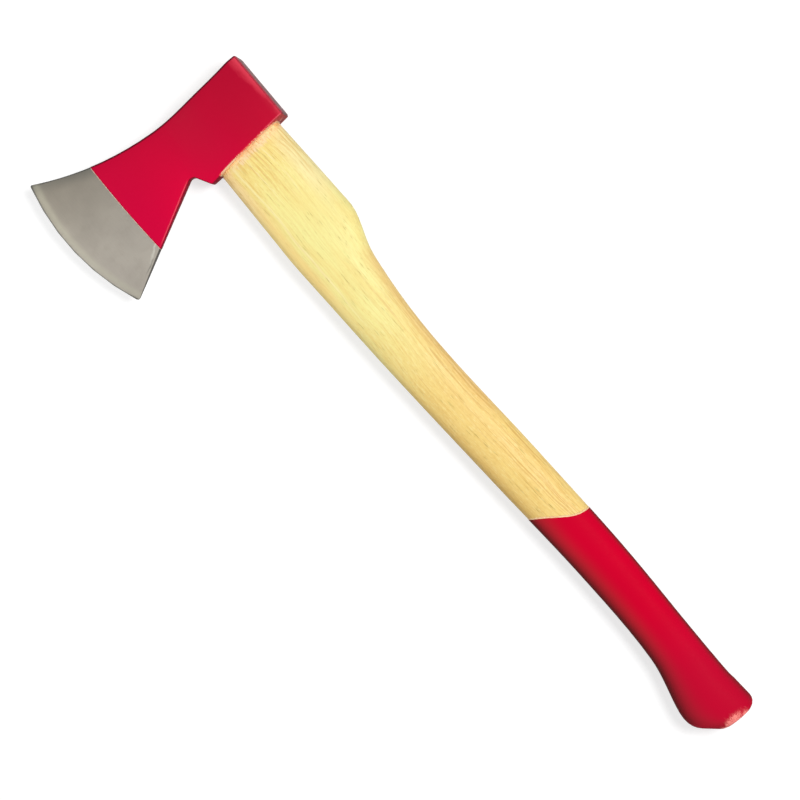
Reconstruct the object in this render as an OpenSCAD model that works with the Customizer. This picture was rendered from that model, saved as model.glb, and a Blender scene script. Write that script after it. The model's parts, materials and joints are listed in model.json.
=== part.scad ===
// Long-handled axe: a forged head under red lacquer, on a curved ash handle with a dipped grip.
// The tongue of the handle is locked in the eye by a wooden wedge and a steel ring.
//
// Drawing frame: x runs down the handle from the underside of the head, y from the cutting edge
// to the poll, z across the head.  Zero is the middle of the eye's lower mouth, on the plane that
// halves the axe.  place() then moves the drawing so the axe lies on z = 0, centred in x and y.

/* [Node] */
// Which piece to draw

/* [Head outline] */
// Middle of the eye to the poll face
poll_reach = 36.4; // [34:0.1:39]
// Height of the head at the poll, above the underside
poll_height = 56.6; // [54.5:0.1:59]
// Height of the head at its waist, above the underside
waist_height = 54; // [51:0.1:54.8]
// Middle of the eye to the waist, towards the edge
waist_reach = 22; // [18:0.5:28]
// Radius of the long hollow curve from the waist to the toe
sweep_radius = 241; // [225:1:260]
// Lean of the underside against the handle, in degrees
underside_lean = 3.3; // [1:0.1:4]
// Middle of the eye to the tip of the lug below the eye
lug_reach = 37.6; // [36.5:0.1:40]
// Radius of the lug's tip
lug_round = 1.8; // [1:0.1:3]
// Depth of the notch behind the lug, above the underside
notch_rise = 12.7; // [10:0.1:14]
// Middle of the eye to the bottom of the notch
notch_reach = 45.8; // [44:0.1:48]
// Radius in the bottom of the notch
notch_round = 4.2; // [3:0.1:5.5]
// Middle of the eye to the toe, the upper corner of the edge
toe_reach = 142.6; // [136:0.1:150]
// Middle of the eye to the heel, the lower corner of the edge
heel_reach = 135.2; // [128:0.1:140]
// Drop of the heel below the underside
heel_drop = 31.4; // [26:0.1:36]
// Radius of the cutting edge, seen from the side
edge_radius = 178; // [150:1:220]
// Rounding of the toe
toe_round = 1.2; // [0.8:0.1:2]
// Rounding of the heel
heel_round = 2; // [1:0.1:3]

/* [Head thickness] */
// Thickness of the head beside the eye
cheek_thickness = 34; // [32:0.1:38]
// Middle of the eye to the end of the flat cheek, towards the poll
cheek_back = 29; // [26:0.5:30]
// Middle of the eye to the end of the flat cheek, towards the edge
cheek_front = 2; // [-4:0.5:6]
// Thickness where the cheek meets the edge of the poll
poll_thickness = 31.6; // [29:0.1:32]
// Width of the bevel round the poll face
poll_break = 0.8; // [0.5:0.1:1.5]
// Thickness of the blade at the notch
notch_thickness = 14; // [12:0.1:17]
// Thickness of the blade at the paint line
paint_line_thickness = 7.8; // [6:0.1:10]
// Fullness of the ground blade between the paint line and the bevel
blade_belly = 0.25; // [0:0.05:0.6]
// Thickness where the edge bevel starts
bevel_thickness = 2.6; // [2:0.1:3.5]
// Width of the edge bevel
bevel_width = 4.2; // [3:0.1:6]
// Thickness of the edge itself
edge_land = 0.4; // [0.2:0.05:0.8]
// Share of the blade's thickness lost from the middle to its outer edges
blade_crown = 0.1; // [0:0.01:0.2]
// Rounding of the long outer edges of the head
head_round = 1.5; // [0.8:0.1:2.2]

/* [Eye] */
// Length of the eye at its lower mouth
eye_length = 55.6; // [53:0.1:57]
// Width of the eye at its lower mouth
eye_width = 22; // [20:0.1:24]
// How much narrower the eye is at its waist
eye_pinch = 0.8; // [0.2:0.1:1.5]
// How much wider the eye is at the top, where the wedge spreads the tongue
eye_flare = 0.8; // [0.2:0.1:1.6]
// Depth of the tongue's end below the top of the head
tongue_sink = 0.3; // [0.1:0.1:2]

/* [Coats] */
// Thickness of the lacquer on the head
head_coat = 0.2; // [0.15:0.05:0.4]
// Thickness of the dipped coat on the grip
grip_coat = 0.25; // [0.15:0.05:0.4]
// Middle of the eye to the paint line, at the upper side of the head
paint_top_reach = 98.8; // [94:0.5:104]
// Middle of the eye to the paint line, at the lower side of the head
paint_low_reach = 97.7; // [94:0.5:104]
// Bow of the paint line towards the edge
paint_bow = 0.9; // [0:0.1:2]
// Underside of the head to the middle of the grip coat's end
grip_line_at = 351.8; // [340:0.5:366]
// How far that end runs down the handle from the front to the back, halved
grip_line_slant = 10.7; // [4:0.1:14]
// Bow of the grip coat's end
grip_line_bow = 2.5; // [0:0.1:4]
// Wave of the grip coat's end
grip_line_wave = 1.3; // [0:0.1:2]

/* [Handle] */
// Underside of the head to the end of the handle
handle_reach = 545.6; // [541:0.1:550]
// Step from the eye out to the wood below the head
shoulder_run = 4.1; // [3:0.1:6]
// Start of the hump behind the head: place along the handle
hump_at = 68.1; // [64:0.1:72]
// Front of the hump: place along the handle
hump_end_at = 84.1; // [80:0.1:90]
// Foot of the hump: place along the handle
foot_at = 118.1; // [112:0.1:126]
// Throat, behind the head: place along the handle
throat_at = 189.1; // [180:0.1:200]
// Middle of the handle: place along the handle
middle_at = 302.1; // [290:0.1:315]
// Grip: place along the handle
grip_at = 397.1; // [385:0.1:410]
// Narrowest part of the grip: place along the handle
palm_at = 474.1; // [466:0.1:482]
// Swelling before the knob: place along the handle
swell_at = 515.1; // [505:0.1:518]
// Knob: place along the handle
knob_at = 522.3; // [522:0.1:524]

/* [Handle width] */
// Width of the wood at the shoulder
shoulder_width = 57.4; // [56.8:0.1:59]
// Width at the start of the hump
hump_width = 60.5; // [58:0.1:63]
// Width at the end of the hump
hump_end_width = 60.5; // [58:0.1:63]
// Width at the foot of the hump
foot_width = 49; // [46:0.1:52]
// Width at the throat
throat_width = 41.2; // [38:0.1:44]
// Width at the middle
middle_width = 39.9; // [37:0.1:43]
// Width at the grip
grip_width = 37.5; // [35:0.1:41]
// Width at the narrowest part
palm_width = 36.7; // [34:0.1:40]
// Width at the swelling
swell_width = 45.7; // [43:0.1:48]
// Width at the knob
knob_width = 47.2; // [45:0.1:50]

/* [Handle sweep] */
// Middle of the wood above the middle of the eye, at the shoulder; minus is towards the edge
shoulder_lift = -0.2; // [-0.6:0.1:0.6]
// The same at the start of the hump
hump_lift = 0.2; // [-1:0.1:2]
// The same at the end of the hump
hump_end_lift = -0.1; // [-1:0.1:2]
// The same at the foot of the hump
foot_lift = -4.8; // [-7:0.1:-3]
// The same at the throat
throat_lift = -6.2; // [-9:0.1:-4]
// The same at the middle
middle_lift = -0.8; // [-3:0.1:2]
// The same at the grip
grip_lift = 3.5; // [1:0.1:6]
// The same at the narrowest part
palm_lift = 3.1; // [1:0.1:6]
// The same at the swelling
swell_lift = -1.4; // [-3:0.1:0]
// The same at the knob
knob_lift = -1.4; // [-3:0.1:0]

/* [Handle thickness] */
// Thickness of the wood at the shoulder
shoulder_thickness = 25; // [24:0.1:27]
// Thickness at the hump
hump_thickness = 26; // [24:0.1:28]
// Thickness at the throat
throat_thickness = 24; // [22:0.1:26]
// Thickness at the narrowest part of the grip
palm_thickness = 24.4; // [22:0.1:27]
// Thickness at the knob
knob_thickness = 30.4; // [28:0.1:33]
// Squareness of the handle's oval; 2 is an ellipse
handle_squareness = 2.25; // [2:0.05:2.6]

/* [Knob end] */
// Distance from the handle's end to where the slanted front of the knob would meet its front
knob_slant_run = 15.2; // [13.5:0.1:17]
// Lift of the slanted front where it would meet the end face
knob_slant_lift = -7.5; // [-9:0.1:-5]
// Lift of the knob's back corner before it is rounded
knob_back_lift = 23.8; // [22:0.1:25]
// Rounding of the knob's back corner
knob_back_round = 7; // [5:0.5:9]
// Rounding between the end face and the slanted front
knob_end_round = 10; // [6:0.5:13]
// Rounding between the slanted front and the knob's front
knob_front_round = 17; // [12:0.5:18]
// Thickness of the flat left in the middle of the end face
knob_flat_thickness = 17; // [12:0.5:20]

/* [Wedges] */
// Depth to which the wooden wedge is driven
wedge_depth = 40; // [30:0.5:46]
// Thickness of the wooden wedge at the top
wedge_thickness = 5; // [4:0.1:6]
// Thickness of the wooden wedge at its tip
wedge_tip = 1.6; // [1:0.1:2.5]
// Outer diameter of the steel ring
ring_diameter = 17; // [14:0.1:18]
// Wall of the steel ring at the top
ring_wall = 1.8; // [1.4:0.1:2.4]
// Wall of the steel ring at its sharp end
ring_tip = 0.5; // [0.3:0.1:0.9]
// Depth to which the steel ring is driven
ring_depth = 12; // [9:0.5:16]
// How far the steel ring stands out of the wood
ring_proud = 0.1; // [0.05:0.05:0.3]

/* [Hidden] */

steel = [0.60, 0.59, 0.55];
red = [0.80, 0.06, 0.18];
ash = [0.93, 0.84, 0.55];
beech = [0.80, 0.66, 0.42];
zinc = [0.70, 0.71, 0.72];

// Fineness of the lofted surfaces.
corner_steps = 3;
cheek_steps = 6;
lug_steps = 3;
notch_steps = 5;
lead_steps = 5;
blade_steps = 6;
tip_steps = 2;
front_steps = 4;
end_steps = 3;
back_steps = 5;
oval_points = 32;
poll_step = 2.2;
cheek_step = 10;
fine_step = 6;
coarse_step = 14;
$fn = 96;

// ---------- plain helpers ----------

function mix(a, b, t) = a + (b - a) * t;
function ease(t) = t * t * (3 - 2 * t);
function unit(v) = v / norm(v);
function power(v, e) = sign(v) * pow(abs(v), e);
function reversed(list) = [for (i = [len(list) - 1:-1:0]) list[i]];
function flatten(lists) = [for (list = lists) for (item = list) item];
function from_second(list) = [for (i = [1:len(list) - 1]) list[i]];

// Even steps from a towards b, up or down, without b itself.
function spaced(a, b, step) =
    let (n = ceil(abs(b - a) / step))
    [for (k = [0:n - 1]) mix(a, b, k / n)];

// A smooth curve through a few knots [place, value], read at place x.
function knot_slope(knots, i) =
    let (a = max(i - 1, 0), b = min(i + 1, len(knots) - 1))
    (knots[b][1] - knots[a][1]) / (knots[b][0] - knots[a][0]);
function through(knots, x) =
    let (
        i = len([for (k = [1:len(knots) - 2]) if (x >= knots[k][0]) k]),
        p = knots[i],
        q = knots[i + 1],
        run = q[0] - p[0],
        t = (x - p[0]) / run
    )
    p[1] * (1 + 2 * t) * (1 - t) * (1 - t) + q[1] * t * t * (3 - 2 * t)
    + run * t * (1 - t) * (knot_slope(knots, i) * (1 - t) - knot_slope(knots, i + 1) * t);

// Points of a rounded corner at p, between straight runs that come from a and leave to b.
function corner(p, a, b, r, steps) =
    let (
        u = unit(a - p),
        v = unit(b - p),
        half = acos(u * v) / 2,
        centre = p + unit(u + v) * r / sin(half),
        first = p + u * r / tan(half) - centre,
        side = sign(u[0] * v[1] - u[1] * v[0]),
        turn = -side * (180 - 2 * half),
        start = atan2(first[1], first[0])
    )
    [for (k = [0:steps]) centre + r * [cos(start + turn * k / steps), sin(start + turn * k / steps)]];

// Triangles between each of a stack's rings, of n points, and the next ring.
function skin_sides(ring_count, n) = [
    for (r = [0:ring_count - 2])
        for (i = [0:n - 1])
            let (a = r * n + i, b = r * n + (i + 1) % n)
            for (face = [[a, b, b + n], [a, b + n, a + n]]) face
];

// Closed skin over a stack of rings of points, with one flat face at each end.
module skin(rings) {
    n = len(rings[0]);
    last = (len(rings) - 1) * n;
    polyhedron(
        points = flatten(rings),
        faces = concat(
            [[for (i = [n - 1:-1:0]) i]],
            skin_sides(len(rings), n),
            [[for (i = [0:n - 1]) last + i]]
        ),
        convexity = 6
    );
}

// ---------- head ----------

function underside_x(y) = -y * tan(underside_lean);
function sweep_x(y) =
    let (d = -waist_reach - y)
    -waist_height - (sweep_radius - sqrt(sweep_radius * sweep_radius - d * d));
function top_x(y) =
    y > cheek_back ? -poll_height
    : y > -waist_reach
        ? let (t = (cheek_back - y) / (cheek_back + waist_reach))
          mix(-waist_height, -poll_height, (1 - t) * (1 - t))
        : sweep_x(y);

lug_tip = [underside_x(-lug_reach), -lug_reach];
notch = [-notch_rise, -notch_reach];
heel = [heel_drop, -heel_reach];
toe = [sweep_x(-toe_reach), -toe_reach];

// Centre of the edge's arc, from its two corners and its radius.
edge_half = norm(heel - toe) / 2;
edge_inward = unit([toe[1] - heel[1], heel[0] - toe[0]]);
edge_centre = (toe + heel) / 2 + edge_inward * sqrt(edge_radius * edge_radius - edge_half * edge_half);
function edge_tangent(p) = unit([edge_centre[1] - p[1], p[0] - edge_centre[0]]);

lug_arc = corner(lug_tip, [0, 0], notch, lug_round, lug_steps);
notch_arc = corner(notch, lug_tip, heel, notch_round, notch_steps);
sweep_tangent = unit([sweep_x(1 - toe_reach) - toe[0], 1]);
toe_arc = corner(toe, toe + sweep_tangent, toe + edge_tangent(toe), toe_round, tip_steps);
heel_arc = corner(heel, notch, heel - edge_tangent(heel), heel_round, tip_steps);
function low_point(y) = mix(notch, heel, (y - notch[1]) / (heel[1] - notch[1]));

// From the poll to the notch: how far the cheek has eased into the blade, and its half thickness.
lead_start = notch_arc[notch_steps][1];
function taper(y) = ease(max(0, min(1, (cheek_front - y) / (cheek_front - lead_start))));
function body_half(y) =
    y > cheek_back
        ? mix(cheek_thickness, poll_thickness, pow((y - cheek_back) / (poll_reach - cheek_back), 2)) / 2
        : mix(cheek_thickness, notch_thickness, taper(y)) / 2;

// A station is [upper point, lower point, bow, half thickness, crown, edge rounding].
function body_station(low) = [
    [top_x(low[1]), low[1]], low, 0, body_half(low[1]), blade_crown * taper(low[1]), head_round
];
// The rounding is limited by the blade's own thickness, which runs out at the edge.
round_share = 1 / 3;
function blade_station(high, low, bow, half) =
    [high, low, bow, half, blade_crown, min(head_round, half * round_share)];

poll_face_y = poll_reach;
poll_edge_y = poll_reach - poll_break;
poll_face_station = [
    [-poll_height + poll_break, poll_face_y],
    [underside_x(poll_face_y) - poll_break, poll_face_y],
    0, body_half(poll_edge_y) - poll_break, 0, head_round - poll_break / 2
];
body_ys = concat(
    spaced(poll_edge_y, cheek_back, poll_step),
    spaced(cheek_back, cheek_front, cheek_step),
    spaced(cheek_front, lug_arc[0][1], fine_step)
);
body_stations = [
    for (low = concat([for (y = body_ys) [underside_x(y), y]], lug_arc, notch_arc)) body_station(low)
];

// From the notch to the paint line the stations swing round to follow the line.
paint_high = [sweep_x(-paint_top_reach), -paint_top_reach];
paint_low = low_point(-paint_low_reach);
lead_stations = [
    for (k = [1:lead_steps])
        let (
            t = k / lead_steps,
            high_y = mix(lead_start, paint_high[1], t),
            low_y = mix(lead_start, paint_low[1], t)
        )
        blade_station([sweep_x(high_y), high_y], low_point(low_y), paint_bow * t,
            mix(notch_thickness, paint_line_thickness, t) / 2)
];

// From the paint line to the bevel they take up the edge's own arc.
final_half = norm(heel_arc[tip_steps] - toe_arc[tip_steps]) / 2;
edge_bow = edge_radius - sqrt(edge_radius * edge_radius - final_half * final_half);
bevel_high_y = toe_arc[0][1] + bevel_width;
bevel_low_y = heel_arc[0][1] + bevel_width;
ground_stations = [
    for (k = [1:blade_steps])
        let (
            t = k / blade_steps,
            high_y = mix(paint_high[1], bevel_high_y, t),
            belly = blade_belly * 4 * t * (1 - t)
        )
        blade_station([sweep_x(high_y), high_y], low_point(mix(paint_low[1], bevel_low_y, t)),
            mix(paint_bow, edge_bow, t),
            mix(paint_line_thickness, bevel_thickness, t) / 2 + belly)
];
bevel_left = heel_round / (bevel_width + heel_round);
edge_stations = [
    for (k = [0:tip_steps])
        blade_station(toe_arc[k], heel_arc[k], edge_bow,
            mix(edge_land, bevel_thickness, (1 - k / tip_steps) * bevel_left) / 2)
];

// One ring of the head: the upper corner, across the cheek, the lower corner, and back again.
function half_section(s, coat, side) =
    let (
        along = unit(s[1] - s[0]),
        across = [along[1], -along[0]],
        length = norm(s[1] - s[0]),
        end_half = s[3] * (1 - s[4]) + coat,
        r = s[5] + coat,
        upper = [
            for (k = [0:corner_steps])
                let (a = 90 * k / corner_steps)
                [r * (1 - cos(a)) - coat, end_half - r * (1 - sin(a))]
        ],
        cheek = [
            for (k = [1:cheek_steps - 1])
                let (u = k / cheek_steps)
                [length * u, s[3] * (1 - s[4] * (2 * u - 1) * (2 * u - 1)) + coat]
        ],
        lower = [for (p = reversed(upper)) [length - p[0], p[1]]]
    )
    [
        for (p = concat(upper, cheek, lower))
            let (
                u = p[0] / length,
                spot = s[0] + along * p[0] + across * s[2] * 4 * u * (1 - u)
            )
            [spot[0], spot[1], side * p[1]]
    ];
function head_ring(s, coat) = concat(half_section(s, coat, 1), reversed(half_section(s, coat, -1)));

coated_stations = concat(body_stations, lead_stations);
bare_stations = concat(ground_stations, edge_stations);

module head_solid() {
    rings = [for (s = concat([poll_face_station], coated_stations, bare_stations)) head_ring(s, 0)];
    n = len(rings[0]);
    last = (len(rings) - 1) * n;
    polyhedron(
        points = flatten(rings),
        faces = concat(
            [[for (i = [n - 1:-1:0]) i]],
            skin_sides(len(rings), n),
            [for (i = [0:n / 2 - 2]) [last + i, last + i + 1, last + n - 2 - i, last + n - 1 - i]]
        ),
        convexity = 6
    );
}

// A coat: an outer and an inner stack of rings, joined round the open start.  The far end is open
// too, or closed by a face outside and one inside.
module coat(outer, inner, closed) {
    n = len(outer[0]);
    m = len(outer);
    inside = m * n;
    last = inside - n;
    rims = [
        for (start = closed ? [0] : [0, last])
            for (i = [0:n - 1])
                let (
                    a = start + i,
                    b = start + (i + 1) % n,
                    face_pair = [[b, a, b + inside], [a, a + inside, b + inside]]
                )
                for (face = face_pair) start == 0 ? face : reversed(face)
    ];
    ends = [[for (i = [0:n - 1]) last + i], [for (i = [n - 1:-1:0]) last + inside + i]];
    polyhedron(
        points = concat(flatten(outer), flatten(inner)),
        faces = concat(
            skin_sides(m, n),
            [for (face = skin_sides(m, n)) [for (i = reversed(face)) i + inside]],
            rims,
            closed ? ends : []
        ),
        convexity = 8
    );
}

// ---------- eye and tongue ----------

function oval(half_length, half_width, squareness) = [
    for (i = [0:oval_points - 1])
        let (a = -360 * i / oval_points)
        [half_length * power(cos(a), 2 / squareness), half_width * power(sin(a), 2 / squareness)]
];

eye_squareness = 2.35;
eye_waist_share = 0.55;

// Growth of the eye over its lower mouth: w is 0 at the top of the head and 1 at the underside.
function eye_growth(w) =
    w > eye_waist_share
        ? -eye_pinch * (1 - w) / (1 - eye_waist_share)
        : mix(eye_flare, -eye_pinch, w / eye_waist_share);

// A ring of the eye.  Its plane turns from the lean of the head's top to that of the underside.
eye_half = eye_length / 2;
function eye_x(w, y) =
    let (top = mix(top_x(-eye_half), top_x(eye_half), (y + eye_half) / eye_length))
    mix(top, underside_x(y), w);
function eye_ring(w) =
    let (grown = eye_growth(w) / 2)
    [
        for (p = oval(eye_half + grown, eye_width / 2 + grown, eye_squareness))
            [eye_x(w, p[0]), p[0], p[1]]
    ];

// The cutter runs on past both faces of the head.
eye_levels = [eye_waist_share / 2, eye_waist_share, (1 + eye_waist_share) / 2];
eye_overrun = 3;
overrun_share = eye_overrun / waist_height;
module eye_cutter() {
    skin([for (w = concat([-overrun_share], eye_levels, [1 + overrun_share])) eye_ring(w)]);
}

// ---------- handle ----------

width_knots = [
    [shoulder_run, shoulder_width], [hump_at, hump_width], [hump_end_at, hump_end_width],
    [foot_at, foot_width], [throat_at, throat_width], [middle_at, middle_width],
    [grip_at, grip_width], [palm_at, palm_width], [swell_at, swell_width], [knob_at, knob_width]
];
lift_knots = [
    [shoulder_run, shoulder_lift], [hump_at, hump_lift], [hump_end_at, hump_end_lift],
    [foot_at, foot_lift], [throat_at, throat_lift], [middle_at, middle_lift],
    [grip_at, grip_lift], [palm_at, palm_lift], [swell_at, swell_lift], [knob_at, knob_lift]
];
thickness_knots = [
    [shoulder_run, shoulder_thickness], [hump_at, hump_thickness], [throat_at, throat_thickness],
    [palm_at, palm_thickness], [knob_at, knob_thickness]
];

// The grip coat ends on a slanting, slightly waved line, and the rings near it slant with it.
line_reach = 60;
function line_shift(c) =
    grip_line_slant * c - grip_line_bow * c * c + grip_line_wave * sin(180 * c);
function line_fade(x) = max(0, 1 - abs(x - grip_line_at) / line_reach);

function shaft_ring(x, coat) = [
    for (p = oval(1, 1, handle_squareness))
        let (
            place = x + line_shift(p[0]) * line_fade(x),
            half = through(width_knots, place) / 2 + coat,
            middle = through(lift_knots, place)
        )
        [place, middle + half * p[0], (through(thickness_knots, place) / 2 + coat) * p[1]]
];

bare_xs = concat(
    spaced(shoulder_run, hump_at, coarse_step),
    spaced(hump_at, foot_at + fine_step, fine_step),
    spaced(foot_at + fine_step, grip_line_at, coarse_step)
);
grip_xs = concat(
    spaced(grip_line_at, palm_at, coarse_step),
    spaced(palm_at, knob_at, fine_step),
    [knob_at]
);

// The knob's end: the front and back outlines run round to the flat of the end face.
knob_front = knob_lift - knob_width / 2;
knob_back = knob_lift + knob_width / 2;
slant_top = [handle_reach - knob_slant_run, knob_front];
slant_end = [handle_reach, knob_slant_lift];
back_end = [handle_reach, knob_back_lift];
end_middle = (slant_end + back_end) / 2;
front_path = concat(
    from_second(corner(slant_top, [knob_at, knob_front], slant_end, knob_front_round, front_steps)),
    corner(slant_end, slant_top, end_middle, knob_end_round, end_steps)
);
back_arc = corner(back_end, [knob_at, knob_back], end_middle, knob_back_round, back_steps);
back_runs = front_steps + end_steps - back_steps;
back_path = concat(
    [for (k = [1:back_runs]) mix([knob_at, knob_back], back_arc[0], k / (back_runs + 1))],
    back_arc
);
end_rings = len(front_path);
end_fullness = 2.6;
function end_half(k) =
    let (t = (k + 1) / end_rings, bulge = pow(1 - pow(t, end_fullness), 1 / end_fullness))
    mix(knob_flat_thickness, knob_thickness, bulge) / 2;
function end_ring(k, coat) =
    let (
        t = (k + 1) / end_rings,
        front = front_path[k],
        back = back_path[k],
        across = unit(back - front),
        ahead = [across[1], -across[0]],
        spread = coat * cos(90 * t),
        middle = (front + back) / 2 + ahead * coat * sin(90 * t),
        reach = norm(back - front) / 2 + spread
    )
    [
        for (p = oval(reach, end_half(k) + spread, handle_squareness))
            [middle[0] + across[0] * p[0], middle[1] + across[1] * p[0], p[1]]
    ];
function grip_rings(coat) = concat(
    [for (x = grip_xs) shaft_ring(x, coat)],
    [for (k = [0:end_rings - 1]) end_ring(k, coat)]
);

// The tongue fills the eye and ends just under the top of the head.  Below the head it leaves the
// eye's line just clear of the lacquer.
shoulder_clearance = 0.05;
shoulder_gap = head_coat + shoulder_clearance;
tongue_top = tongue_sink / poll_height;
tongue_rings = [
    for (w = concat([tongue_top], eye_levels, [1 + shoulder_gap / poll_height])) eye_ring(w)
];
module handle_solid() {
    skin(concat(tongue_rings, [for (x = bare_xs) shaft_ring(x, 0)], grip_rings(0)));
}

// ---------- wedges ----------

// Middle of the tongue's end, and the lean of that end.
tongue_end_x = eye_x(tongue_top, 0);
tongue_lean = atan2(top_x(-eye_half) - top_x(eye_half), eye_length);

module kerf() {
    top = tongue_end_x - eye_overrun;
    tip = tongue_end_x + wedge_depth;
    grow = (wedge_thickness - wedge_tip) / wedge_depth * eye_overrun;
    wide = (wedge_thickness + grow) / 2;
    rotate([90, 0, 0])
        linear_extrude(height = 2 * eye_length, center = true)
            polygon([[top, -wide], [tip, -wedge_tip / 2], [tip, wedge_tip / 2], [top, wide]]);
}

// The ring's section is a blunt wedge; its slot in the wood runs on past the tongue's end.
module ring_solid(overrun) {
    outer = ring_diameter / 2;
    translate([tongue_end_x, 0, 0])
        rotate([0, 0, tongue_lean])
            rotate([0, 90, 0])
                rotate_extrude()
                    polygon([
                        [outer - ring_wall, -overrun],
                        [outer, -overrun],
                        [outer, 0],
                        [outer - (ring_wall - ring_tip) / 2, ring_depth],
                        [outer - (ring_wall + ring_tip) / 2, ring_depth],
                        [outer - ring_wall, 0]
                    ]);
}

// ---------- placing ----------

// The lowest point of the edge and the end of the coated knob set the middle of the drawing.
edge_points = [for (p = half_section(edge_stations[tip_steps], 0, 1)) p[1]];
low_y = min(edge_points);
toe_points = [for (s = edge_stations) s[0][0]];
left_x = min(toe_points);
mid_x = (left_x + handle_reach + grip_coat) / 2;
mid_y = (low_y + poll_face_y) / 2;
module place() {
    translate([-mid_x, -mid_y, cheek_thickness / 2 + head_coat]) children();
}

// ---------- pieces ----------

module axe_head() {
    color(steel)
        place()
            difference() {
                head_solid();
                eye_cutter();
            }
}

module head_lacquer() {
    color(red)
        place()
            difference() {
                coat(
                    [for (s = coated_stations) head_ring(s, head_coat)],
                    [for (s = coated_stations) head_ring(s, 0)],
                    false
                );
                eye_cutter();
            }
}

module handle() {
    color(ash)
        place()
            difference() {
                handle_solid();
                kerf();
                ring_solid(eye_overrun);
            }
}

module grip_lacquer() {
    color(red)
        place()
            coat(grip_rings(grip_coat), grip_rings(0), true);
}

module wood_wedge() {
    color(beech)
        place()
            difference() {
                intersection() {
                    skin(tongue_rings);
                    kerf();
                }
                ring_solid(eye_overrun);
            }
}

module ring_wedge() {
    color(zinc)
        place()
            ring_solid(ring_proud);
}

axe_head();
head_lacquer();
handle();
grip_lacquer();
wood_wedge();
ring_wedge();
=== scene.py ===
"""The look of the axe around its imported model: surfaces, small details, floor, light and camera."""
import json
import math
import random

import bpy
from mathutils import Matrix, Vector
from mathutils.bvhtree import BVHTree


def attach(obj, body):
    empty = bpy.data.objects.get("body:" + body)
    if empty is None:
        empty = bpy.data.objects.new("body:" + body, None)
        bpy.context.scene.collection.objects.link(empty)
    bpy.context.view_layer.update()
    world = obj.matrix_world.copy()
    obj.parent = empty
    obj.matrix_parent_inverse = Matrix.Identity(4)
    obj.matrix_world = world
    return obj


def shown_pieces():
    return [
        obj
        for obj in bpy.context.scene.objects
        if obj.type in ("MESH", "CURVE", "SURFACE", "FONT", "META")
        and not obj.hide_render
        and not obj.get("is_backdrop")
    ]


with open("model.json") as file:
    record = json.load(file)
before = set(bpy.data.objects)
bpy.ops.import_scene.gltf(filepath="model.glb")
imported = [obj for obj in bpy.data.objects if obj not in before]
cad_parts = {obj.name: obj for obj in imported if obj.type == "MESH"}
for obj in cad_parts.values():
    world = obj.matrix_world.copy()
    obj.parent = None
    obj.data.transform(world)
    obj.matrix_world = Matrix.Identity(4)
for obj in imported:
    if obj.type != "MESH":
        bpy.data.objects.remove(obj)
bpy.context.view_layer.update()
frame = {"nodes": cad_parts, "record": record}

NODES = frame["nodes"]
SEED = 7

# ---- places on the axe, in metres in the row frame ----
# x runs down the handle, y from the cutting edge to the poll, and z up.

MOUNTS = {mount["name"]: Vector(mount["pos_m"]) for mount in frame["record"]["mounts"]}
POLL = MOUNTS["poll_face"]
# The middle of the joint, where the handle leaves the underside of the head.
SHOULDER = MOUNTS["hanging_shoulder"]
UNDERSIDE_LEAN = math.radians(3.3)
MIDDLE_Z = SHOULDER.z

# ---- image points, in the photograph's frame of 800 by 800 ----

IMAGE_SIDE = 800
# How far from its image point a feature is looked for, in pixels.
SEARCH_RADIUS = 22
# Half the width of the strip in which it is looked for: the whole circle at a corner, less at an edge.
CORNER = SEARCH_RADIUS
EDGE = 3
# name: (x, y, direction in the image in which the pieces reach furthest there, half the width
#        of the strip along that direction in which they are looked for, pieces)
IMAGE_POINTS = {
    "toe": (30.7, 186.0, (-1, 0), CORNER, ["axe_head"]),
    "heel": (140, 298, (0, 1), CORNER, ["axe_head"]),
    "poll_top": (233, 55, (0, -1), CORNER, ["axe_head", "head_lacquer"]),
    "poll_corner": (288, 116, (1, 0), CORNER, ["axe_head"]),
    "lug": (214, 185, (1, 2), CORNER, ["head_lacquer"]),
    "notch": (193, 180.5, (0, 1), EDGE, ["head_lacquer"]),
    "neck_upper": (183.2, 103.9, (-5, -6), EDGE, ["head_lacquer"]),
    "paint_line_top": (93, 168, (-2, -1), CORNER, ["head_lacquer"]),
    "paint_line_low": (161, 248, (0, 1), CORNER, ["head_lacquer"]),
    "hump": (351.5, 204.3, (6, -5), EDGE, ["handle"]),
    "belly": (288.3, 258.8, (-6, 5), EDGE, ["handle"]),
    "throat": (432.7, 336.0, (6, -5), EDGE, ["handle"]),
    "handle_front": (440.0, 425.8, (-6, 5), EDGE, ["handle"]),
    "grip_line_front": (529, 519, (-1, 0), CORNER, ["grip_lacquer"]),
    "grip_line_back": (589, 508, (0, -1), CORNER, ["grip_lacquer"]),
    "grip_back": (667.0, 597.7, (6, -5), EDGE, ["grip_lacquer"]),
    "knob_back": (753, 699, (1, 0), CORNER, ["grip_lacquer"]),
    "knob_bottom": (705, 728, (0, 1), EDGE, ["grip_lacquer"]),
    "knob_scuff": (732.9, 716.8, None, 0, []),
    "underside_glint": (280.7, 119.9, None, 0, []),
}


# ---- camera ----

LENS = 100.0
SENSOR = 36.0
CAMERA_DISTANCE = 1.6432
CAMERA_TILT_ALONG = math.radians(1.2)
CAMERA_TILT_ACROSS = math.radians(5.8)
CAMERA_ROLL = math.radians(50.0)
PIXELS_PER_SLOPE = LENS / SENSOR * IMAGE_SIDE


def furthest(node, direction):
    """The vertex of a CAD node that lies furthest in a direction."""
    return max((v.co for v in NODES[node].data.vertices), key=direction.dot).copy()


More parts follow.
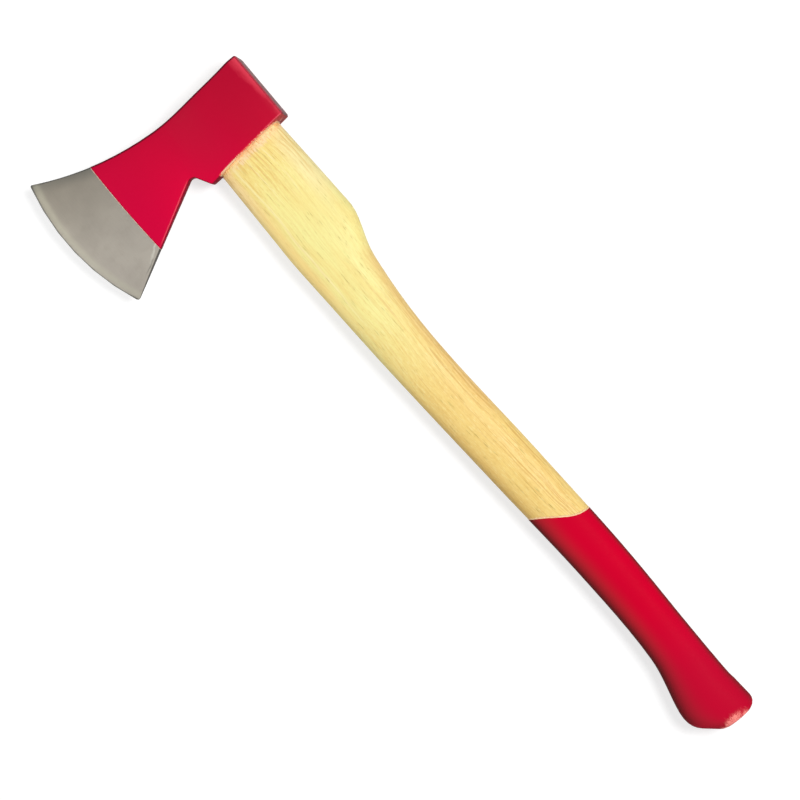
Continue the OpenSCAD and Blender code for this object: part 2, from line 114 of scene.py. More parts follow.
def camera_axes():
    """The camera's right and up, and the direction from the axe towards the camera."""
    toward = Vector((math.sin(CAMERA_TILT_ALONG), math.sin(CAMERA_TILT_ACROSS), 0))
    toward.z = math.sqrt(1 - toward.length_squared)
    along = Vector((1, 0, 0)) - toward * toward.x
    along.normalize()
    across = toward.cross(along)
    right = along * math.cos(CAMERA_ROLL) + across * math.sin(CAMERA_ROLL)
    up = across * math.cos(CAMERA_ROLL) - along * math.sin(CAMERA_ROLL)
    return right, up, toward


def make_camera():
    """The photograph's view: the toe of the axe shows at its image point."""
    right, up, toward = camera_axes()
    toe = furthest("axe_head", Vector((-1, 0, 0)))
    x, y = IMAGE_POINTS["toe"][:2]
    slope_x = (x - IMAGE_SIDE / 2) / PIXELS_PER_SLOPE
    slope_y = (IMAGE_SIDE / 2 - y) / PIXELS_PER_SLOPE
    place = toe + CAMERA_DISTANCE * (toward - right * slope_x - up * slope_y)
    data = bpy.data.cameras.new("camera")
    data.lens = LENS
    data.sensor_width = SENSOR
    data.sensor_fit = "AUTO"
    camera = bpy.data.objects.new("camera", data)
    bpy.context.scene.collection.objects.link(camera)
    turned = Matrix((right, up, toward)).transposed().to_4x4()
    camera.matrix_world = Matrix.Translation(place) @ turned
    bpy.context.scene.camera = camera
    return camera


CAMERA = make_camera()


def image_of(place):
    """The image point at which a place shows."""
    local = CAMERA.matrix_world.inverted() @ place
    return Vector((
        IMAGE_SIDE / 2 - PIXELS_PER_SLOPE * local.x / local.z,
        IMAGE_SIDE / 2 + PIXELS_PER_SLOPE * local.y / local.z,
    ))


def finished(pieces):
    """The finished vertices of some pieces, one tree over their faces, and each piece's vertex count."""
    graph = bpy.context.evaluated_depsgraph_get()
    places, faces, counts = [], [], []
    for piece in pieces:
        shape = piece.evaluated_get(graph)
        mesh = shape.to_mesh()
        first = len(places)
        places += [shape.matrix_world @ v.co for v in mesh.vertices]
        faces += [[first + i for i in face.vertices] for face in mesh.polygons]
        counts.append(len(mesh.vertices))
        shape.to_mesh_clear()
    return places, BVHTree.FromPolygons(places, faces), counts


def surface_at(x, y, tree):
    """The place on a surface that shows at an image point, or the one nearest to its ray."""
    slope = Vector((x - IMAGE_SIDE / 2, IMAGE_SIDE / 2 - y, -IMAGE_SIDE * LENS / SENSOR))
    ray = (CAMERA.matrix_world.to_3x3() @ slope).normalized()
    start = CAMERA.matrix_world.translation
    place = tree.ray_cast(start, ray)[0]
    if place is None:
        reach = (SHOULDER - start).dot(ray)
        place = tree.find_nearest(start + ray * reach)[0]
    return place


CAD_TREE = finished(NODES.values())[1]


def feature_place(name):
    """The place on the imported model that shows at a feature's image point."""
    return surface_at(*IMAGE_POINTS[name][:2], CAD_TREE)


# ---- material building ----

def linear(colour):
    """An sRGB colour, of 0 to 255 a channel, in Blender's linear values."""
    def channel(value):
        share = value / 255
        return share / 12.92 if share <= 0.04045 else ((share + 0.055) / 1.055) ** 2.4
    return (*map(channel, colour), 1.0)


class Nodes:
    """Short calls that add nodes to a tree; a socket or a plain value may be fed to any input."""

    def __init__(self, tree):
        self.tree = tree

    def node(self, kind, sockets=(), **settings):
        made = self.tree.nodes.new("ShaderNode" + kind)
        for name, value in settings.items():
            setattr(made, name, value)
        for socket, value in dict(sockets).items():
            self.feed(value, made.inputs[socket])
        return made

    def feed(self, value, socket):
        if isinstance(value, bpy.types.NodeSocket):
            self.tree.links.new(value, socket)
        else:
            socket.default_value = value

    def calc(self, operation, a, b=0.0):
        return self.node("Math", {0: a, 1: b}, operation=operation).outputs[0]

    def add(self, a, b):
        return self.calc("ADD", a, b)

    def minus(self, a, b):
        return self.calc("SUBTRACT", a, b)

    def larger(self, a, b):
        return self.calc("MAXIMUM", a, b)

    def times(self, *factors):
        result = factors[0]
        for factor in factors[1:]:
            result = self.calc("MULTIPLY", result, factor)
        return result

    def gap(self, a, b):
        """How far apart two values are."""
        return self.calc("ABSOLUTE", self.minus(a, b))

    def swing(self, noise, width):
        """Noise of 0 to 1 as a swing about zero, so wide from side to side."""
        return self.times(self.minus(noise, 0.5), width)

    def step(self, value, start, end, low=0.0, high=1.0):
        """A smooth step: low where the value is at start, high where it is at end."""
        sockets = {"Value": value, "From Min": start, "From Max": end, "To Min": low, "To Max": high}
        return self.node("MapRange", sockets, interpolation_type="SMOOTHSTEP").outputs["Result"]

    def ridge(self, value, middle, reach):
        """1 where the value is at the middle, 0 a reach away on either side."""
        return self.step(self.gap(value, middle), reach, 0.0)

    def distance(self, place, other):
        return self.node("VectorMath", {0: place, 1: other}, operation="DISTANCE").outputs["Value"]

    def length(self, arrow):
        return self.node("VectorMath", {0: arrow}, operation="LENGTH").outputs["Value"]

    def seen_directly(self):
        """1 for rays that show the background: from the camera, a mirror or glass."""
        path = self.node("LightPath").outputs
        reflected = self.larger(path["Is Glossy Ray"], path["Is Transmission Ray"])
        return self.larger(path["Is Camera Ray"], reflected)


class Surface(Nodes):
    """A material round one Principled shader, whose colour is laid on in layers."""

    def __init__(self, name, **settings):
        self.material = bpy.data.materials.new(name)
        self.material.use_nodes = True
        super().__init__(self.material.node_tree)
        self.shader = self.tree.nodes["Principled BSDF"]
        for socket, value in settings.items():
            self.shader.inputs[socket.replace("_", " ")].default_value = value
        coordinates = self.node("TexCoord")
        self.place = coordinates.outputs["Object"]
        self.x, self.y, self.z = self.node("SeparateXYZ", {"Vector": self.place}).outputs
        self.facing = self.node("SeparateXYZ", {"Vector": coordinates.outputs["Normal"]}).outputs
        self.rounded = None
        self.colour = None

    def soften(self, radius):
        """Rounds the look of the edges: the axe lies as it was modelled, so its axes are the world's."""
        self.rounded = self.node("Bevel", {"Radius": radius}, samples=6).outputs["Normal"]
        self.facing = self.node("SeparateXYZ", {"Vector": self.rounded}).outputs

    def noise(self, repeats, detail=3.0, rough=0.55, place=None):
        """Noise with so many repeats per metre along each axis."""
        stretch = self.node("Mapping", {"Vector": place or self.place, "Scale": repeats})
        sockets = {"Vector": stretch.outputs["Vector"], "Scale": 1.0}
        sockets.update({"Detail": detail, "Roughness": rough})
        return self.node("TexNoise", sockets).outputs["Fac"]

    def even_noise(self, repeats, detail=3.0):
        return self.noise((repeats, repeats, repeats), detail)

    def across(self, start, end):
        """How far a place lies to the left of the line from start to end, seen from above."""
        line = (end - start).to_2d().normalized()
        left = Vector((-line.y, line.x))
        reach = self.add(self.times(self.x, left.x), self.times(self.y, left.y))
        return self.minus(reach, left.dot(start.to_2d()))

    def tint(self, share, under, over):
        """A colour laid over another by a share of 0 to 1; each is a socket or an sRGB colour."""
        under, over = (linear(side) if isinstance(side, tuple) else side for side in (under, over))
        mix = self.node("Mix", {"Factor": share, 6: under, 7: over}, data_type="RGBA")
        return mix.outputs[2]

    def lay(self, colour, *shares):
        """Lays a colour over the surface, by the product of some shares of 0 to 1."""
        self.colour = self.tint(self.times(*shares), self.colour, colour)

    def finish(self, roughness, height, depth):
        """Gives the shader its colour, its roughness and a relief that is so deep."""
        bump = self.node("Bump", {"Height": height, "Distance": depth, "Strength": 1.0})
        if self.rounded:
            self.feed(self.rounded, bump.inputs["Normal"])
        self.feed(self.colour, self.shader.inputs["Base Color"])
        self.feed(roughness, self.shader.inputs["Roughness"])
        self.feed(bump.outputs["Normal"], self.shader.inputs["Normal"])
        return self


def two_toned(name, noise, dark, light, mix, rough, depth, **settings):
    """A plain material in two colours, by a noise that also gives its roughness and relief."""
    surface = Surface(name, **settings)
    pattern = surface.noise(*noise)
    surface.colour = surface.tint(surface.step(pattern, *mix), dark, light)
    return surface.finish(surface.step(pattern, 0.3, 0.7, *rough), pattern, depth)


def wear(piece, surface):
    """Gives a piece a material of its own."""
    piece.data.materials.clear()
    piece.data.materials.append(surface.material)


# ---- wood ----
# A pair of places along x or y is where a change begins and where it is complete.

class AshWood(Surface):
    """Varnished ash, with frayed fibres and red dust where it leaves the head."""

    # Along x.
    NEAR_HEAD = (-0.165, -0.215)
    NEAR_GRIP = (-0.140, -0.030)
    NECK = (-0.224, -0.185)
    HUMP = (-0.185, -0.150)
    SHAFT = (-0.085, 0.015)
    PALE_BACK = (-0.150, -0.190)
    BAND_END = (-0.055, -0.125)
    BACK_SHADE_STARTS = (-0.130, -0.105)
    BACK_SHADE_ENDS = (0.045, 0.015)
    FRONT_SHADE_STARTS = (-0.040, 0.085)
    EYE_END = (-0.262, -0.266)
    # Along y.
    CREAM_BACK = (0.068, 0.080)
    BROWN_BY_JOINT = (0.0800, 0.0835)
    FRAYED_FRONT = (0.036, 0.046)
    FRAYED_BACK = (0.080, 0.070)
    FINE_BACK = (0.050, 0.064)
    LONG_BACK = (0.048, 0.064)
    DUST_FRONT = (0.072, 0.056)
    # Where the grain begins to lift towards the head, and to fall towards the grip.
    LIFT_START = -0.190
    FALL_START = -0.010
    # The growth band along the front: its border in y, and the middle and reach of its pale line.
    BAND = (0.0400, 0.0350)
    BAND_EDGE = (0.0415, 0.0014)

    GOLDEN = (247, 226, 140)
    STRAW = (248, 236, 154)
    PALE_STRAW = (246, 237, 157)
    DEEP_GOLD = (245, 212, 131)
    CLOUDED = (244, 214, 128)
    LIT_BACK_CREAM = (254, 242, 190)
    BAND_COLOUR = (255, 223, 143)
    BAND_BY_HEAD = (255, 224, 164)
    BAND_LINE = (255, 241, 182)
    BACK_SHADE = (238, 194, 124)
    FRONT_SHADE = (206, 152, 72)
    FRAYED = (252, 226, 196)
    FINE_LINE = (226, 184, 98)
    LONG_LINE = (212, 164, 84)
    PALE_LINE = (255, 238, 186)
    FAINT_LINE = (220, 176, 96)
    PORE = (178, 158, 74)
    PALE_FLECK = (255, 246, 190)
    DARK_FLECK = (214, 174, 96)
    JOINT_BROWN = (226, 160, 92)
    TORN = (234, 170, 110)
    RED_DUST = (224, 112, 78)
    END_GRAIN = (196, 146, 88)
    PALE_END_GRAIN = (228, 190, 132)
    DIRT = (140, 104, 70)

    def __init__(self):
        super().__init__("varnished_ash", Specular_IOR_Level=0.2)
        self.near_head = self.step(self.x, *self.NEAR_HEAD)
        self.near_grip = self.step(self.x, *self.NEAR_GRIP)
        self.level = self.grain_level()
        sockets = {"X": self.x, "Y": self.level, "Z": self.z}
        self.grain = self.node("CombineXYZ", sockets).outputs[0]
        self.past_head = self.distance_past_head()
        self.ragged = self.noise((90, 800, 800))
        cloud = self.lay_length_colours()
        self.lay_growth_bands()
        self.lay_frayed_rim()
        fine = self.lay_fine_lines()
        pores = self.lay_pores()
        tears = self.lay_joint_marks()
        self.lay_end_grain()
        rough = self.step(cloud, 0.2, 0.8, 0.42, 0.56)
        relief = self.minus(self.add(fine, self.times(tears, 1.5)), self.times(pores, 1.2))
        self.finish(rough, relief, depth=0.00010)

    def grain_level(self):
        """The grain line at a place, as its y: lines wander, and bend by the head and the grip."""
        back = self.calc("MINIMUM", self.add(self.x, -self.LIFT_START), 0.0)
        lift = self.times(back, back, 0.5)
        fall = self.times(self.larger(self.add(self.x, -self.FALL_START), 0.0), -0.05)
        wander = self.swing(self.noise((11, 22, 22), detail=2), 0.010)
        return self.add(self.add(self.add(self.y, lift), wander), fall)

    def distance_past_head(self):
        """How far a place lies beyond the head's leaning underside."""
        lean = self.times(self.minus(self.y, SHOULDER.y), math.tan(UNDERSIDE_LEAN))
        return self.minus(self.add(self.x, lean), SHOULDER.x)

    def streaks(self, along, across, detail=3.0, rough=0.55):
        """Noise drawn out along the grain, with so many repeats per metre along and across it."""
        return self.noise((along, across, across), detail, rough, place=self.grain)

    def lay_length_colours(self):
        """Golden at the head, palest at the hump, deeper gold at the grip, cloudy all along, and painted
        light that makes the back paler by the head.
        """
        self.colour = self.tint(self.step(self.x, *self.NECK), self.GOLDEN, self.STRAW)
        self.lay(self.PALE_STRAW, self.step(self.x, *self.HUMP))
        self.lay(self.DEEP_GOLD, self.step(self.x, *self.SHAFT))
        cloud = self.streaks(16, 90, detail=2)
        self.lay(self.CLOUDED, self.step(cloud, 0.35, 0.75, high=0.45))
        # Painted light: the back by the head is made paler, where its rounding would turn darker.
        by_back = self.step(self.y, *self.CREAM_BACK)
        self.lay(self.LIT_BACK_CREAM, by_back, self.step(self.x, *self.PALE_BACK), 0.55)
        return cloud

    def lay_growth_bands(self):
        """An orange-brown band along the front, pale at its border, and painted shade that browns the back
        and the front.
        """
        wavy = self.add(self.level, self.times(self.streaks(30, 260), 0.004))
        along = self.step(self.x, *self.BAND_END)
        band = self.tint(self.near_head, self.BAND_COLOUR, self.BAND_BY_HEAD)
        self.lay(band, self.step(wavy, *self.BAND), along, 0.75)
        self.lay(self.BAND_LINE, self.ridge(wavy, *self.BAND_EDGE), along, 0.6)
        # Painted shade: the sides facing the back and the front are browned.
        start, end = self.step(self.x, *self.BACK_SHADE_STARTS), self.step(self.x, *self.BACK_SHADE_ENDS)
        back = self.step(self.facing["Y"], 0.25, 0.75)
        self.lay(self.BACK_SHADE, back, self.times(start, end), 0.65)
        front = self.step(self.facing["Y"], -0.10, -0.75)
        self.lay(self.FRONT_SHADE, front, self.step(self.x, *self.FRONT_SHADE_STARTS), 0.4)

    def lay_frayed_rim(self):
        """The wood that the rim of the head has frayed pale, most of all in the middle."""
        reach = self.minus(self.past_head, self.times(self.ragged, 0.010))
        from_front = self.step(self.y, *self.FRAYED_FRONT)
        middle = self.times(from_front, self.step(self.y, *self.FRAYED_BACK))
        amount = self.add(self.times(middle, 0.45), 0.20)
        self.lay(self.FRAYED, self.step(reach, 0.0022, -0.0010), amount)

    def lay_fine_lines(self):
        """Lines of grain: many at the head and the back of the grip end, few at the hump."""
        by_back = self.step(self.y, *self.FINE_BACK, 0.45, 1.0)
        amount = self.add(self.larger(self.near_head, self.times(self.near_grip, by_back)), 0.12)
        fine = self.streaks(22, 640, detail=4, rough=0.65)
        self.lay(self.FINE_LINE, self.step(fine, 0.50, 0.64), amount, 0.66)
        long = self.step(self.streaks(7, 700, detail=2), 0.54, 0.64)
        by_back = self.step(self.y, *self.LONG_BACK, 0.15, 1.0)
        self.lay(self.LONG_LINE, long, self.near_grip, by_back, 0.6)
        pale = self.step(self.streaks(26, 520), 0.58, 0.70)
        amount = self.add(self.times(self.near_head, 0.6), self.times(self.near_grip, 0.18))
        self.lay(self.PALE_LINE, pale, amount)
        faint = self.streaks(34, 1000, rough=0.6)
        self.lay(self.FAINT_LINE, self.step(faint, 0.42, 0.62, high=0.16))
        return fine

    def lay_pores(self):
        """Pores, as short dark dashes, and small flecks, fewest at the hump."""
        pores = self.step(self.streaks(70, 1300, detail=2), 0.65, 0.73)
        self.lay(self.PORE, pores, 0.55)
        fleck = self.streaks(240, 1100, rough=0.7)
        amount = self.step(self.larger(self.near_head, self.near_grip), 0.0, 1.0, 0.45, 1.0)
        self.lay(self.PALE_FLECK, self.step(fleck, 0.54, 0.66), amount, 0.26)
        self.lay(self.DARK_FLECK, self.step(fleck, 0.46, 0.34), amount, 0.28)
        return pores

    def lay_joint_marks(self):
        """Browner at the back next to the head, torn fibres, and red dust in the corner by the head."""
        # Browner at the back, just beyond the head.
        at_back = self.step(self.y, *self.BROWN_BY_JOINT)
        self.lay(self.JOINT_BROWN, at_back, self.step(self.past_head, 0.0050, 0.0010), 0.7)
        torn = self.noise((260, 900, 900), detail=2)
        tears = self.times(self.step(torn, 0.54, 0.64), self.step(self.past_head, 0.009, 0.003), 0.4)
        self.lay(self.TORN, tears)
        dusty = self.minus(self.past_head, self.times(self.ragged, 0.003))
        amount = self.step(self.y, *self.DUST_FRONT, 0.22, 0.32)
        self.lay(self.RED_DUST, self.step(dusty, 0.0002, -0.0012), amount)
        return tears

    def lay_end_grain(self):
        """End grain in the eye: rows of pores across the growth rings, grey with dirt."""
        rings = self.noise((40, 90, 620), detail=4, rough=0.7)
        end = self.tint(self.step(rings, 0.38, 0.62), self.END_GRAIN, self.PALE_END_GRAIN)
        dirt = self.step(self.even_noise(200), 0.45, 0.75, high=0.5)
        end = self.tint(dirt, end, self.DIRT)
        self.lay(end, self.step(self.x, *self.EYE_END))


def wedge_wood():
    return two_toned(
        "wedge_wood", noise=((60, 500, 260), 4), dark=(138, 86, 52), light=(178, 122, 78),
        mix=(0.3, 0.7), rough=(0.6, 0.75), depth=0.0002, Specular_IOR_Level=0.2,
    )


def torn_wood():
    return two_toned(
        "torn_ash", noise=((60, 1500, 1500), 3), dark=(244, 204, 140), light=(253, 230, 186),
        mix=(0.35, 0.65), rough=(0.6, 0.75), depth=0.00008, Specular_IOR_Level=0.1,
    )


# ---- lacquer ----

class Lacquer(Surface):
    """Crimson lacquer: a little uneven, with painted shade that deepens it on the steep sides, and specks
    of dust in it.
    """

    # The depth of its relief, and its shine where it is steep.
    RELIEF = 0.00003
    STEEP_SHINE = 0.004

    def __init__(self, name, edge, shine):
        super().__init__(name)
        self.soften(edge)
        tone = self.even_noise(12, detail=2)
        self.colour = self.tint(self.step(tone, 0.3, 0.7), self.DEEP, self.BRIGHT)
        self.ripple = self.even_noise(420, detail=2)
        speck = self.step(self.even_noise(900, detail=1), 0.77, 0.80)
        self.relief = self.add(self.ripple, self.times(speck, 0.8))
        self.steep = self.step(self.calc("ABSOLUTE", self.facing["Z"]), 0.80, 0.15)
        specular = self.step(self.steep, 0.0, 1.0, shine, self.STEEP_SHINE)
        self.feed(specular, self.shader.inputs["Specular IOR Level"])


class HeadLacquer(Lacquer):
    """The head's lacquer, with painted highlights along the poll and the edges of its underside, painted
    shade on its sides, and frayed by the wood.
    """

    # The wood's outline at the underside: half its straight part, and the radius of its ends.
    WOOD_STRAIGHT = 0.0155
    WOOD_ROUND = 0.0125
    # Past this far from the wood's middle along y, the rim isn't frayed.
    FRAY_END = (0.0296, 0.0282)
    # Along y.
    EYE_FROM_BLADE = (-0.040, 0.005)
    EYE_FROM_POLL = (0.070, 0.045)
    TO_BLADE = (0.005, -0.035)
    TO_POLL = (0.072, 0.082)
    HIGHLIGHT_BY_POLL = (0.068, 0.080)
    HIGHLIGHT_FROM_EYE = (0.008, 0.002)
    HIGHLIGHT_FROM_BIT = (-0.042, -0.034)
    SCUFF_AND_SHEEN_BY_POLL = (0.074, 0.082)
    FRAY_PALES = (0.058, 0.072)
    # Along x, and how wide the painted highlight along the poll is there.
    HIGHLIGHT_DEEPENS = (-0.230, -0.284)
    HIGHLIGHT_WIDENS = (-0.235, -0.288)
    HIGHLIGHT_WIDTHS = (0.0042, 0.0092)

    DEEP = (203, 8, 51)
    BRIGHT = (214, 5, 54)
    BY_EYE = (226, 4, 65)
    BY_BLADE = (199, 5, 62)
    BY_POLL = (226, 8, 53)
    UPPER_CORNER_SHADE = (184, 15, 48)
    POLL_HIGHLIGHT = (242, 78, 98)
    SHADED = (100, 20, 32)
    UPPER_RIM_SHADE = (84, 14, 32)
    EDGE_HIGHLIGHT = (240, 112, 124)
    SCUFF_AND_SHEEN = (192, 80, 76)
    UNDERSIDE_GLINT = (244, 170, 160)
    FRAYED_RED = (234, 88, 78)
    FRAYED_PALE = (252, 214, 172)

    def __init__(self):
        super().__init__("head_lacquer_paint", edge=0.0012, shine=0.035)
        self.below_poll = self.minus(POLL.y, self.y)
        self.lay_tones()
        self.lay_poll_highlight()
        self.lay_sides()
        self.lay_edge_highlights()
        self.lay_scuffs_and_glint()
        self.lay_fray()
        self.finish(self.step(self.ripple, 0.3, 0.7, 0.36, 0.46), self.relief, self.RELIEF)

    def lay_tones(self):
        """Brightest round the eye and by the poll, bluer by the blade, and painted shade that dulls the
        upper corner.
        """
        by_eye = self.step(self.y, *self.EYE_FROM_BLADE)
        self.lay(self.BY_EYE, by_eye, self.step(self.y, *self.EYE_FROM_POLL), 0.5)
        self.lay(self.BY_BLADE, self.step(self.y, *self.TO_BLADE, high=0.5))
        self.lay(self.BY_POLL, self.step(self.y, *self.TO_POLL, high=0.4))
        # Painted shade: duller towards the upper corner.
        off_corner = self.minus(self.times(self.x, 0.77), self.times(self.y, 0.64))
        self.lay(self.UPPER_CORNER_SHADE, self.step(off_corner, -0.15, -0.27))

    def lay_poll_highlight(self):
        """A painted highlight, pale along the poll, strongest at the corner of the upper side."""
        uneven = self.swing(self.noise((70, 200, 70), detail=4, rough=0.65), 0.010)
        reach = self.add(self.step(self.x, *self.HIGHLIGHT_WIDENS, *self.HIGHLIGHT_WIDTHS), uneven)
        highlit = self.step(self.calc("DIVIDE", self.below_poll, reach), 1.1, 0.0)
        # Painted highlight: pale along the poll.
        self.lay(self.POLL_HIGHLIGHT, highlit, self.step(self.x, *self.HIGHLIGHT_DEEPENS, 0.50, 0.75))

    def lay_sides(self):
        """Painted shade: deeper on the sides and at the poll's edge, and almost black just below the upper
        side.
        """
        # Painted shade on the steep sides, at the poll's edge and just below the upper side.
        upper_side = self.step(self.facing["X"], -0.80, -0.96)
        self.lay(self.SHADED, self.steep, self.step(upper_side, 0.0, 1.0, 0.75, 0.15))
        by_upper_side = self.step(self.facing["X"], -0.12, -0.40)
        self.lay(self.UPPER_RIM_SHADE, by_upper_side, self.step(upper_side, 0.0, 1.0, 0.9, 0.0))
        self.lay(self.SHADED, self.step(self.below_poll, 0.0012, 0.0009), 0.5)

    def lay_edge_highlights(self):
        """Painted highlights on the edge of the underside, beside the poll and along the blade."""
        by_poll = self.step(self.y, *self.HIGHLIGHT_BY_POLL)
        at_poll = self.times(by_poll, self.ridge(self.facing["X"], 0.50, 0.22))
        from_eye = self.step(self.y, *self.HIGHLIGHT_FROM_EYE)
        stretch = self.times(from_eye, self.step(self.y, *self.HIGHLIGHT_FROM_BIT))
        along_blade = self.times(stretch, self.ridge(self.facing["X"], 0.46, 0.20), 0.9)
        # Painted highlights on the underside's edge.
        self.lay(self.EDGE_HIGHLIGHT, self.larger(at_poll, along_blade), 0.85)

    def lay_scuffs_and_glint(self):
        """Scuffs on the underside beside the poll, painted brighter as a sheen, and one painted glint."""
        under = self.step(self.facing["X"], 0.6, 0.85)
        uneven = self.noise((260, 420, 420))
        by_poll = self.step(self.y, *self.SCUFF_AND_SHEEN_BY_POLL)
        # Scuffs, painted brighter as a sheen on the underside.
        self.lay(self.SCUFF_AND_SHEEN, under, by_poll, self.step(uneven, 0.35, 0.60, 0.5, 0.9))
        away = self.distance(self.place, feature_place("underside_glint"))
        away = self.add(away, self.times(uneven, 0.002))
        # A painted glint on the underside.
        self.lay(self.UNDERSIDE_GLINT, self.step(away, 0.0030, 0.0018), 0.85)

    def lay_fray(self):
        """The rim that meets the wood is frayed orange and pale."""
        from_middle = self.gap(self.y, SHOULDER.y)
        sideways = self.larger(self.minus(from_middle, self.WOOD_STRAIGHT), 0.0)
        around = self.node("CombineXYZ", {"X": sideways, "Y": self.minus(self.z, MIDDLE_Z)})
        off_wood = self.minus(self.length(around.outputs[0]), self.WOOD_ROUND)
        torn = self.minus(off_wood, self.swing(self.noise((300, 900, 900)), 0.010))
        border = self.minus(torn, self.step(self.y, *self.FRAY_PALES, high=0.0010))
        fray = self.tint(self.step(border, 0.0038, 0.0012), self.FRAYED_RED, self.FRAYED_PALE)
        by_wood = self.times(self.step(self.facing["X"], 0.38, 0.66), self.step(torn, 0.0060, 0.0046))
        self.lay(fray, by_wood, self.step(from_middle, *self.FRAY_END), 0.95)


class GripLacquer(Lacquer):
    """The grip's lacquer, with painted shade that browns it towards the front and deepens it at the knob,
    and a scuff at the knob's end painted pale as a highlight.
    """

    # The scuff's upper border curves round a place this far in x and y from its image point, at
    # a distance between these two.
    SCUFF_CURVE = Vector((0.009, 0.0))
    SCUFF_EDGE = (0.0166, 0.0144)
    # Seen along x the scuff is an oval round this place, of these radii in y and z.
    SCUFF_MIDDLE = Vector((0.0, 0.0605, 0.021))
    SCUFF_RADII = (0.0132, 0.0116)
    # Along x.
    TO_KNOB = (0.205, 0.275)
    SHADE_EASES = (0.255, 0.300)

    DEEP = (203, 5, 43)
    BRIGHT = (215, 1, 46)
    BROWN_SHADE = (140, 62, 54)
    KNOB_SHADE = (150, 24, 50)
    SHADED = (88, 42, 40)
    SCUFF_HIGHLIGHT = (248, 142, 134)

    def __init__(self):
        super().__init__("grip_lacquer_paint", edge=0.0003, shine=0.006)
        self.lay_shades()
        scuffed = self.lay_scuff()
        rough = self.step(self.ripple, 0.3, 0.7, 0.38, 0.48)
        self.finish(rough, self.add(self.relief, scuffed), self.RELIEF)

    def lay_shades(self):
        """Painted shade: browner towards the front, deeper at the knob, dark on the front and the steep
        sides.
        """
        # Painted shade: browner to the front, deeper at the knob, dark on the front and the steep sides.
        self.lay(self.BROWN_SHADE, self.step(self.facing["Y"], 0.02, -0.42, high=0.28))
        self.lay(self.KNOB_SHADE, self.step(self.x, *self.TO_KNOB, high=0.37))
        front = self.step(self.facing["Y"], -0.20, -1.0)
        dark = self.larger(self.times(self.steep, 0.8), self.times(front, 0.85))
        off_end = self.step(self.facing["X"], 0.45, 0.08, 0.10, 1.0)
        self.lay(self.SHADED, dark, off_end, self.step(self.x, *self.SHADE_EASES, 1.0, 0.8))

    def lay_scuff(self):
        """End grain roughens the thin lacquer at the knob's end, and its pale colour there is a painted
        highlight; returns its relief.
        """
        grain = self.noise((400, 820, 760), detail=4, rough=0.75)
        centre = feature_place("knob_scuff").to_2d() + self.SCUFF_CURVE
        away = self.distance(self.place, (centre.x, centre.y, self.SCUFF_MIDDLE.z))
        away = self.add(away, self.swing(grain, 0.012))
        oval = self.add(self.oval_distance(), self.swing(grain, 0.9))
        oval = self.add(oval, self.swing(self.noise((90, 150, 150), detail=1), 1.1))
        patch = self.times(self.step(away, *self.SCUFF_EDGE), self.step(oval, 1.08, 0.92))
        speckle = self.add(grain, self.step(away, 0.0110, 0.0166, 0.05, -0.07))
        # The scuff, painted pale as a highlight on the rough end grain.
        self.lay(self.SCUFF_HIGHLIGHT, patch, self.step(speckle, 0.42, 0.50, 0.12, 1.0))
        return self.times(patch, grain, 6.0)

    def oval_distance(self):
        """The distance from the middle of the scuff's oval: 1 on its border."""
        scale = (0.0, *(1 / radius for radius in self.SCUFF_RADII))
        apart = self.node("Mapping", {"Vector": self.place, "Location": -self.SCUFF_MIDDLE}).outputs[0]
        scaled = self.node("VectorMath", {0: apart, 1: scale}, operation="MULTIPLY").outputs[0]
        return self.length(scaled)


def rim_paint(name, dark, light):
    return two_toned(
        name, noise=((500, 500, 500), 3), dark=dark, light=light,
        mix=(0.35, 0.65), rough=(0.45, 0.6), depth=0.00005, Specular_IOR_Level=0.1,
    )


# ---- metal ----

def circle_through(start, middle, end):
    """Centre and radius of the circle through three places, seen from above."""
    a, b = (middle - start).to_2d(), (end - start).to_2d()
    a2, b2 = a.length_squared, b.length_squared
    out = Vector((b.y * a2 - a.y * b2, a.x * b2 - b.x * a2)) / (2 * a.cross(b))
    return start.to_2d() + out, out.length


